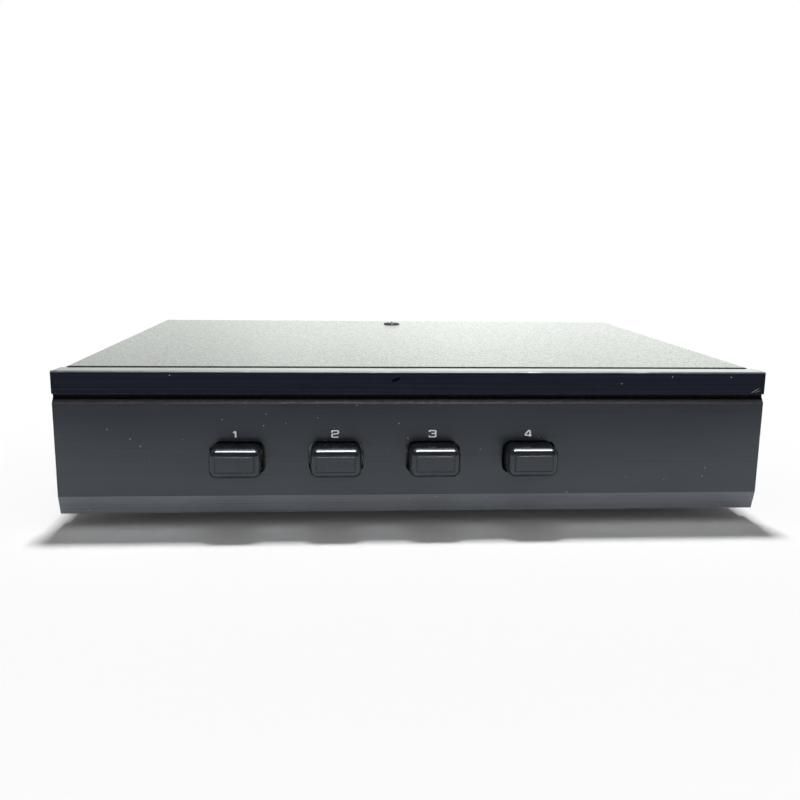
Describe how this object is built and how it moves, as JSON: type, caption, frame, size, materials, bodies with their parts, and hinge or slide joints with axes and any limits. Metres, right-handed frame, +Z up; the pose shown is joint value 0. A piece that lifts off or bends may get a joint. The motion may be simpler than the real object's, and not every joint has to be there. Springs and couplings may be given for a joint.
{
  "type": "speaker selector switch",
  "caption": "Speaker selector switch: a low steel case with push buttons on its front panel and sprung lever terminals for wires at the back.",
  "frame": {"origin": "middle of the whole object's footprint, on the surface that it stands on", "axes": "+Z up, +Y from the buttons towards the terminals at the back, +X to the right seen from the front"},
  "size_m": [0.25, 0.198, 0.0578],
  "materials": {
    "panel_black": "brushed along its length, black",
    "cover_paint": "fine textured satin black",
    "chassis_steel": "zinc plated",
    "foot_rubber": "matt",
    "screw_steel": "zinc plated",
    "screw_black": "black oxide",
    "button_black": "semi gloss",
    "plunger_white": "matt",
    "switch_black": "matt",
    "spring_steel": "bright",
    "board_green": "solder resist",
    "brass": "bright",
    "tinned_pin": "tinned",
    "resistor_ceramic": "matt",
    "header_nylon": "satin",
    "wire_pvc": "satin",
    "block_black": "matt",
    "lever_red": "satin",
    "lever_black": "satin"
  },
  "bodies": {
    "case": {"front_panel": "panel_black", "top_cover": "cover_paint", "chassis": "chassis_steel", "feet": "foot_rubber", "foot_screws": "screw_steel", "cover_screws": "screw_black", "panel_screws": "screw_steel", "switch_rail": "chassis_steel", "rail_screws": "screw_steel", "circuit_board": "board_green", "board_spacers": "brass", "spacer_screws": "screw_steel", "board_screws": "screw_steel", "switch_pins": "tinned_pin", "power_resistors": "resistor_ceramic", "board_headers": "header_nylon", "internal_wires": "wire_pvc", "terminal_contacts": "brass", "terminal_screws": "screw_steel", "return_spring_1": "spring_steel", "switch_body_1": "switch_black", "return_spring_2": "spring_steel", "switch_body_2": "switch_black", "return_spring_3": "spring_steel", "switch_body_3": "switch_black", "return_spring_4": "spring_steel", "switch_body_4": "switch_black", "input_block": "block_black", "output_1_block": "block_black", "output_2_block": "block_black", "output_3_block": "block_black", "output_4_block": "block_black"},
    "button_1": {"button_1": "button_black", "plunger_1": "plunger_white"},
    "button_2": {"button_2": "button_black", "plunger_2": "plunger_white"},
    "button_3": {"button_3": "button_black", "plunger_3": "plunger_white"},
    "button_4": {"button_4": "button_black", "plunger_4": "plunger_white"},
    "input_lever_left_red": {"input_lever_left_red": "lever_red"},
    "input_lever_left_black": {"input_lever_left_black": "lever_black"},
    "input_lever_right_red": {"input_lever_right_red": "lever_red"},
    "input_lever_right_black": {"input_lever_right_black": "lever_black"},
    "output_1_lever_left_red": {"output_1_lever_left_red": "lever_red"},
    "output_1_lever_left_black": {"output_1_lever_left_black": "lever_black"},
    "output_1_lever_right_red": {"output_1_lever_right_red": "lever_red"},
    "output_1_lever_right_black": {"output_1_lever_right_black": "lever_black"},
    "output_2_lever_left_red": {"output_2_lever_left_red": "lever_red"},
    "output_2_lever_left_black": {"output_2_lever_left_black": "lever_black"},
    "output_2_lever_right_red": {"output_2_lever_right_red": "lever_red"},
    "output_2_lever_right_black": {"output_2_lever_right_black": "lever_black"},
    "output_3_lever_left_red": {"output_3_lever_left_red": "lever_red"},
    "output_3_lever_left_black": {"output_3_lever_left_black": "lever_black"},
    "output_3_lever_right_red": {"output_3_lever_right_red": "lever_red"},
    "output_3_lever_right_black": {"output_3_lever_right_black": "lever_black"},
    "output_4_lever_left_red": {"output_4_lever_left_red": "lever_red"},
    "output_4_lever_left_black": {"output_4_lever_left_black": "lever_black"},
    "output_4_lever_right_red": {"output_4_lever_right_red": "lever_red"},
    "output_4_lever_right_black": {"output_4_lever_right_black": "lever_black"}
  },
  "joints": [
    {"name": "button_1_press", "type": "slide", "parent": "case", "child": "button_1", "axis": [0, 1, 0], "range_m": [0, 0.0045], "stiffness_N_per_m": 400, "deforming": ["return_spring_1"]},
    {"name": "button_2_press", "type": "slide", "parent": "case", "child": "button_2", "axis": [0, 1, 0], "range_m": [0, 0.0045], "stiffness_N_per_m": 400, "deforming": ["return_spring_2"]},
    {"name": "button_3_press", "type": "slide", "parent": "case", "child": "button_3", "axis": [0, 1, 0], "range_m": [0, 0.0045], "stiffness_N_per_m": 400, "deforming": ["return_spring_3"]},
    {"name": "button_4_press", "type": "slide", "parent": "case", "child": "button_4", "axis": [0, 1, 0], "range_m": [0, 0.0045], "stiffness_N_per_m": 400, "deforming": ["return_spring_4"]},
    {"name": "input_lever_left_red_press", "type": "hinge", "parent": "case", "child": "input_lever_left_red", "pos_m": [0.1, 0.0855, 0.04025], "axis": [-1, 0, 0], "range_deg": [0, 16], "stiffness_Nm_per_rad": 0.12, "deforming": ["terminal_contacts"]},
    {"name": "input_lever_left_black_press", "type": "hinge", "parent": "case", "child": "input_lever_left_black", "pos_m": [0.1, 0.0855, 0.02525], "axis": [-1, 0, 0], "range_deg": [0, 16], "stiffness_Nm_per_rad": 0.12, "deforming": ["terminal_contacts"]},
    {"name": "input_lever_right_red_press", "type": "hinge", "parent": "case", "child": "input_lever_right_red", "pos_m": [0.086, 0.0855, 0.04025], "axis": [-1, 0, 0], "range_deg": [0, 16], "stiffness_Nm_per_rad": 0.12, "deforming": ["terminal_contacts"]},
    {"name": "input_lever_right_black_press", "type": "hinge", "parent": "case", "child": "input_lever_right_black", "pos_m": [0.086, 0.0855, 0.02525], "axis": [-1, 0, 0], "range_deg": [0, 16], "stiffness_Nm_per_rad": 0.12, "deforming": ["terminal_contacts"]},
    {"name": "output_1_lever_left_red_press", "type": "hinge", "parent": "case", "child": "output_1_lever_left_red", "pos_m": [0.043, 0.0855, 0.04025], "axis": [-1, 0, 0], "range_deg": [0, 16], "stiffness_Nm_per_rad": 0.12, "deforming": ["terminal_contacts"]},
    {"name": "output_1_lever_left_black_press", "type": "hinge", "parent": "case", "child": "output_1_lever_left_black", "pos_m": [0.043, 0.0855, 0.02525], "axis": [-1, 0, 0], "range_deg": [0, 16], "stiffness_Nm_per_rad": 0.12, "deforming": ["terminal_contacts"]},
    {"name": "output_1_lever_right_red_press", "type": "hinge", "parent": "case", "child": "output_1_lever_right_red", "pos_m": [0.029, 0.0855, 0.04025], "axis": [-1, 0, 0], "range_deg": [0, 16], "stiffness_Nm_per_rad": 0.12, "deforming": ["terminal_contacts"]},
    {"name": "output_1_lever_right_black_press", "type": "hinge", "parent": "case", "child": "output_1_lever_right_black", "pos_m": [0.029, 0.0855, 0.02525], "axis": [-1, 0, 0], "range_deg": [0, 16], "stiffness_Nm_per_rad": 0.12, "deforming": ["terminal_contacts"]},
    {"name": "output_2_lever_left_red_press", "type": "hinge", "parent": "case", "child": "output_2_lever_left_red", "pos_m": [0.001, 0.0855, 0.04025], "axis": [-1, 0, 0], "range_deg": [0, 16], "stiffness_Nm_per_rad": 0.12, "deforming": ["terminal_contacts"]},
    {"name": "output_2_lever_left_black_press", "type": "hinge", "parent": "case", "child": "output_2_lever_left_black", "pos_m": [0.001, 0.0855, 0.02525], "axis": [-1, 0, 0], "range_deg": [0, 16], "stiffness_Nm_per_rad": 0.12, "deforming": ["terminal_contacts"]},
    {"name": "output_2_lever_right_red_press", "type": "hinge", "parent": "case", "child": "output_2_lever_right_red", "pos_m": [-0.013, 0.0855, 0.04025], "axis": [-1, 0, 0], "range_deg": [0, 16], "stiffness_Nm_per_rad": 0.12, "deforming": ["terminal_contacts"]},
    {"name": "output_2_lever_right_black_press", "type": "hinge", "parent": "case", "child": "output_2_lever_right_black", "pos_m": [-0.013, 0.0855, 0.02525], "axis": [-1, 0, 0], "range_deg": [0, 16], "stiffness_Nm_per_rad": 0.12, "deforming": ["terminal_contacts"]},
    {"name": "output_3_lever_left_red_press", "type": "hinge", "parent": "case", "child": "output_3_lever_left_red", "pos_m": [-0.041, 0.0855, 0.04025], "axis": [-1, 0, 0], "range_deg": [0, 16], "stiffness_Nm_per_rad": 0.12, "deforming": ["terminal_contacts"]},
    {"name": "output_3_lever_left_black_press", "type": "hinge", "parent": "case", "child": "output_3_lever_left_black", "pos_m": [-0.041, 0.0855, 0.02525], "axis": [-1, 0, 0], "range_deg": [0, 16], "stiffness_Nm_per_rad": 0.12, "deforming": ["terminal_contacts"]},
    {"name": "output_3_lever_right_red_press", "type": "hinge", "parent": "case", "child": "output_3_lever_right_red", "pos_m": [-0.055, 0.0855, 0.04025], "axis": [-1, 0, 0], "range_deg": [0, 16], "stiffness_Nm_per_rad": 0.12, "deforming": ["terminal_contacts"]},
    {"name": "output_3_lever_right_black_press", "type": "hinge", "parent": "case", "child": "output_3_lever_right_black", "pos_m": [-0.055, 0.0855, 0.02525], "axis": [-1, 0, 0], "range_deg": [0, 16], "stiffness_Nm_per_rad": 0.12, "deforming": ["terminal_contacts"]},
    {"name": "output_4_lever_left_red_press", "type": "hinge", "parent": "case", "child": "output_4_lever_left_red", "pos_m": [-0.083, 0.0855, 0.04025], "axis": [-1, 0, 0], "range_deg": [0, 16], "stiffness_Nm_per_rad": 0.12, "deforming": ["terminal_contacts"]},
    {"name": "output_4_lever_left_black_press", "type": "hinge", "parent": "case", "child": "output_4_lever_left_black", "pos_m": [-0.083, 0.0855, 0.02525], "axis": [-1, 0, 0], "range_deg": [0, 16], "stiffness_Nm_per_rad": 0.12, "deforming": ["terminal_contacts"]},
    {"name": "output_4_lever_right_red_press", "type": "hinge", "parent": "case", "child": "output_4_lever_right_red", "pos_m": [-0.097, 0.0855, 0.04025], "axis": [-1, 0, 0], "range_deg": [0, 16], "stiffness_Nm_per_rad": 0.12, "deforming": ["terminal_contacts"]},
    {"name": "output_4_lever_right_black_press", "type": "hinge", "parent": "case", "child": "output_4_lever_right_black", "pos_m": [-0.097, 0.0855, 0.02525], "axis": [-1, 0, 0], "range_deg": [0, 16], "stiffness_Nm_per_rad": 0.12, "deforming": ["terminal_contacts"]}
  ]
}
